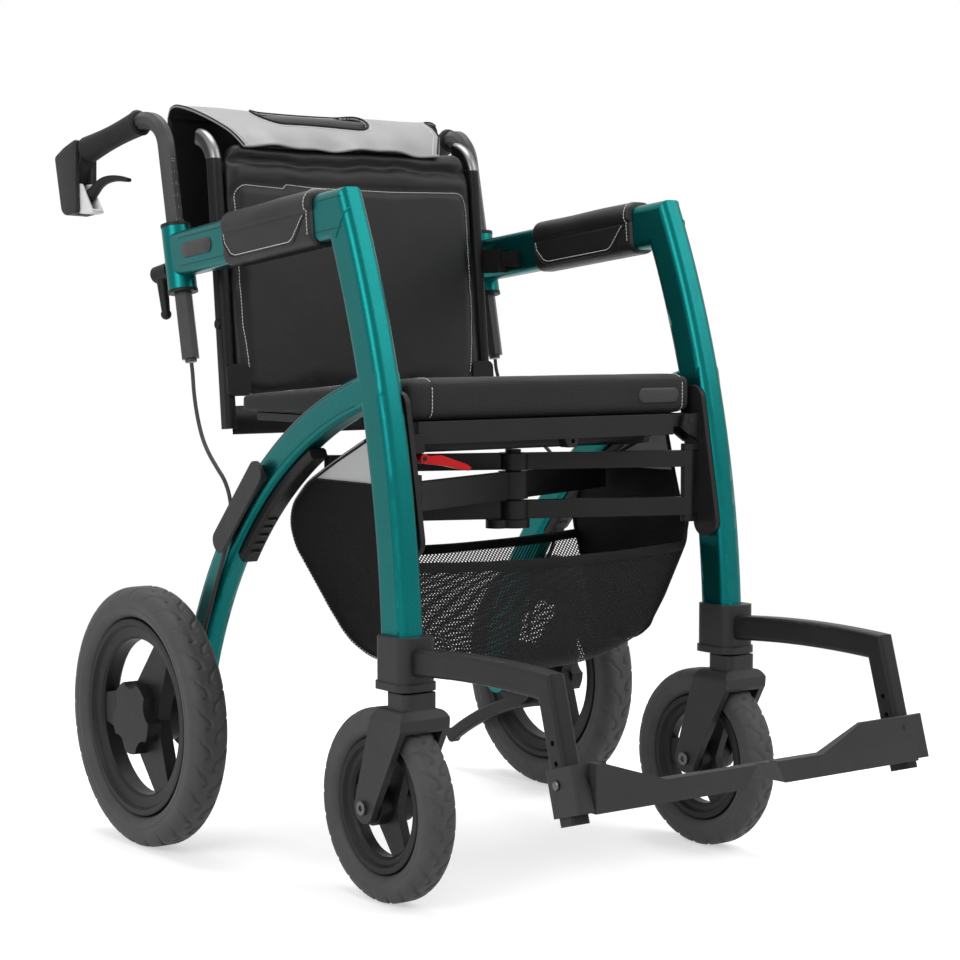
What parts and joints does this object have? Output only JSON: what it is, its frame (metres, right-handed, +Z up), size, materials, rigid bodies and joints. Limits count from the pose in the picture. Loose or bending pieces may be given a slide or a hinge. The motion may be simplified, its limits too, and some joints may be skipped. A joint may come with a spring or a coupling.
{
  "type": "rollator transport chair",
  "caption": "Folding walking frame on wheels that is also a transport chair, with seat, back, armrests, push handles with brakes, footrests and basket.",
  "frame": {"origin": "middle of the box of the chair, on the floor", "axes": "+Z up, front toward -Y, the sitter's right toward -X"},
  "size_m": [0.65, 1.001, 0.874],
  "materials": {
    "teal_paint": "satin metallic",
    "black_plastic": "fine grain",
    "grey_plastic": "fine grain",
    "post_metal": "anodised",
    "grip_rubber": "matt",
    "white_plastic": "satin",
    "cable": "satin",
    "tyre": "matt",
    "steel": "brushed",
    "dark_metal": "powder coat",
    "pad_leather": "grained",
    "seat_fabric": "woven",
    "mesh_fabric": "net",
    "red_plastic": "satin",
    "flap_leather": "grained"
  },
  "bodies": {
    "right_frame": {"right_side_frame": "teal_paint", "right_sleeve_bushes": "black_plastic", "right_cable_cover": "grey_plastic", "right_rear_rail": "black_plastic", "right_hinge_plate": "black_plastic", "right_caster_block": "grey_plastic", "right_rear_axle": "steel", "right_arm_pad": "pad_leather", "right_back_upright": "dark_metal", "right_footrest_arm": "dark_metal", "right_brake_cable": "cable", "back_pad": "seat_fabric", "back_cover": "flap_leather", "basket": "mesh_fabric"},
    "right_handle": {"right_handle_post": "post_metal", "right_handle_grip": "grip_rubber", "right_brake_housing": "grey_plastic", "right_brake_guide": "white_plastic"},
    "right_brake": {"right_brake_lever": "black_plastic"},
    "right_clamp": {"right_clamp_lever": "black_plastic"},
    "right_caster": {"right_caster_fork": "grey_plastic", "right_front_axle": "steel"},
    "right_front_wheel": {"right_front_tyre": "tyre", "right_front_rim": "black_plastic"},
    "right_rear_wheel": {"right_rear_tyre": "tyre", "right_rear_rim": "black_plastic"},
    "right_foot_slide": {"right_foot_block": "grey_plastic"},
    "right_foot_catch": {"right_foot_button": "steel"},
    "right_foot_flap": {"right_footplate": "grey_plastic"},
    "left_frame": {"left_side_frame": "teal_paint", "left_sleeve_bushes": "black_plastic", "left_cable_cover": "grey_plastic", "left_rear_rail": "black_plastic", "left_hinge_plate": "black_plastic", "left_caster_block": "grey_plastic", "left_rear_axle": "steel", "left_arm_pad": "pad_leather", "left_back_upright": "dark_metal", "left_footrest_arm": "dark_metal", "left_brake_cable": "cable"},
    "left_handle": {"left_handle_post": "post_metal", "left_handle_grip": "grip_rubber", "left_brake_housing": "grey_plastic", "left_brake_guide": "white_plastic"},
    "left_brake": {"left_brake_lever": "black_plastic"},
    "left_clamp": {"left_clamp_lever": "black_plastic"},
    "left_caster": {"left_caster_fork": "grey_plastic", "left_front_axle": "steel"},
    "left_front_wheel": {"left_front_tyre": "tyre", "left_front_rim": "black_plastic"},
    "left_rear_wheel": {"left_rear_tyre": "tyre", "left_rear_rim": "black_plastic"},
    "left_foot_slide": {"left_foot_block": "grey_plastic"},
    "left_foot_catch": {"left_foot_button": "steel"},
    "left_foot_flap": {"left_footplate": "grey_plastic"},
    "brace_right": {"brace_arm_right": "dark_metal"},
    "brace_left": {"brace_arm_left": "dark_metal"},
    "seat": {"seat_bar": "dark_metal", "seat_cushion": "seat_fabric"},
    "latch_lever_body": {"latch_lever": "red_plastic"}
  },
  "joints": [
    {"name": "frame_fold", "type": "hinge", "parent": "right_frame", "child": "brace_right", "pos_m": [-0.194, -0.16555, 0.43], "axis": [0, 0, 1], "range_deg": [0, 48], "deforming": ["back_pad", "back_cover", "basket"]},
    {"name": "brace_cross", "type": "hinge", "parent": "brace_right", "child": "brace_left", "pos_m": [0, -0.08555, 0.43], "axis": [0, 0, 1], "range_deg": [-96, 0]},
    {"name": "left_fold", "type": "hinge", "parent": "brace_left", "child": "left_frame", "pos_m": [0.194, -0.16555, 0.43], "axis": [0, 0, 1], "range_deg": [0, 48]},
    {"name": "seat_flip", "type": "hinge", "parent": "left_frame", "child": "seat", "pos_m": [0.192, -0.15755, 0.5007], "axis": [0, 1, 0], "range_deg": [0, 86.4], "deforming": ["seat_cushion"]},
    {"name": "latch_turn", "type": "hinge", "parent": "right_frame", "child": "latch_lever_body", "pos_m": [-0.184, -0.16355, 0.4697], "axis": [0, 1, 0], "range_deg": [0, 20], "stiffness_Nm_per_rad": 0.6},
    {"name": "right_handle_height", "type": "slide", "parent": "right_frame", "child": "right_handle", "axis": [0, 0.2079, 0.9781], "range_m": [-0.06, 0.09], "deforming": ["right_brake_cable"]},
    {"name": "right_brake_squeeze", "type": "hinge", "parent": "right_handle", "child": "right_brake", "pos_m": [-0.24993, 0.45849, 0.7779], "axis": [-0.9903, -0.1361, 0.0289], "range_deg": [-10, 14], "stiffness_Nm_per_rad": 1.2},
    {"name": "right_clamp_turn", "type": "hinge", "parent": "right_frame", "child": "right_clamp", "pos_m": [-0.23118, 0.29993, 0.6736], "axis": [-0.1392, 0.9686, -0.2059], "range_deg": [0, 120]},
    {"name": "right_caster_swivel", "type": "hinge", "parent": "right_frame", "child": "right_caster", "pos_m": [-0.227, -0.20255, 0.24], "axis": [0, 0, 1], "continuous": true},
    {"name": "right_front_roll", "type": "hinge", "parent": "right_caster", "child": "right_front_wheel", "pos_m": [-0.227, -0.16255, 0.104], "axis": [1, 0, 0], "continuous": true},
    {"name": "right_rear_roll", "type": "hinge", "parent": "right_frame", "child": "right_rear_wheel", "pos_m": [-0.301, 0.22545, 0.1525], "axis": [1, 0, 0], "continuous": true},
    {"name": "right_foot_height", "type": "slide", "parent": "right_frame", "child": "right_foot_slide", "axis": [0, 0.279, 0.9603], "range_m": [0, 0.04]},
    {"name": "right_foot_press", "type": "slide", "parent": "right_foot_slide", "child": "right_foot_catch", "axis": [1, 0, 0], "range_m": [0, 0.0018], "stiffness_N_per_m": 800},
    {"name": "right_foot_flip", "type": "hinge", "parent": "right_foot_slide", "child": "right_foot_flap", "pos_m": [-0.205, -0.48155, 0.188], "axis": [0, -1, 0], "range_deg": [0, 90]},
    {"name": "left_handle_height", "type": "slide", "parent": "left_frame", "child": "left_handle", "axis": [0, 0.2079, 0.9781], "range_m": [-0.06, 0.09], "deforming": ["left_brake_cable"]},
    {"name": "left_brake_squeeze", "type": "hinge", "parent": "left_handle", "child": "left_brake", "pos_m": [0.24993, 0.45849, 0.7779], "axis": [-0.9903, 0.1361, -0.0289], "range_deg": [-10, 14], "stiffness_Nm_per_rad": 1.2},
    {"name": "left_clamp_turn", "type": "hinge", "parent": "left_frame", "child": "left_clamp", "pos_m": [0.23118, 0.29993, 0.6736], "axis": [-0.1392, -0.9686, 0.2059], "range_deg": [0, 120]},
    {"name": "left_caster_swivel", "type": "hinge", "parent": "left_frame", "child": "left_caster", "pos_m": [0.227, -0.20255, 0.24], "axis": [0, 0, 1], "continuous": true},
    {"name": "left_front_roll", "type": "hinge", "parent": "left_caster", "child": "left_front_wheel", "pos_m": [0.227, -0.16255, 0.104], "axis": [1, 0, 0], "continuous": true},
    {"name": "left_rear_roll", "type": "hinge", "parent": "left_frame", "child": "left_rear_wheel", "pos_m": [0.301, 0.22545, 0.1525], "axis": [1, 0, 0], "continuous": true},
    {"name": "left_foot_height", "type": "slide", "parent": "left_frame", "child": "left_foot_slide", "axis": [0, 0.279, 0.9603], "range_m": [0, 0.04]},
    {"name": "left_foot_press", "type": "slide", "parent": "left_foot_slide", "child": "left_foot_catch", "axis": [-1, 0, 0], "range_m": [0, 0.0018], "stiffness_N_per_m": 800},
    {"name": "left_foot_flip", "type": "hinge", "parent": "left_foot_slide", "child": "left_foot_flap", "pos_m": [0.205, -0.48155, 0.188], "axis": [0, 1, 0], "range_deg": [0, 90]}
  ],
  "couplings": [
    {"joint": "brace_cross", "follows": "frame_fold", "ratio": -2},
    {"joint": "left_fold", "follows": "frame_fold", "ratio": 1},
    {"joint": "seat_flip", "follows": "frame_fold", "ratio": 1.8},
    {"joint": "right_foot_flip", "follows": "frame_fold", "ratio": 1.875},
    {"joint": "left_foot_flip", "follows": "frame_fold", "ratio": 1.875}
  ]
}
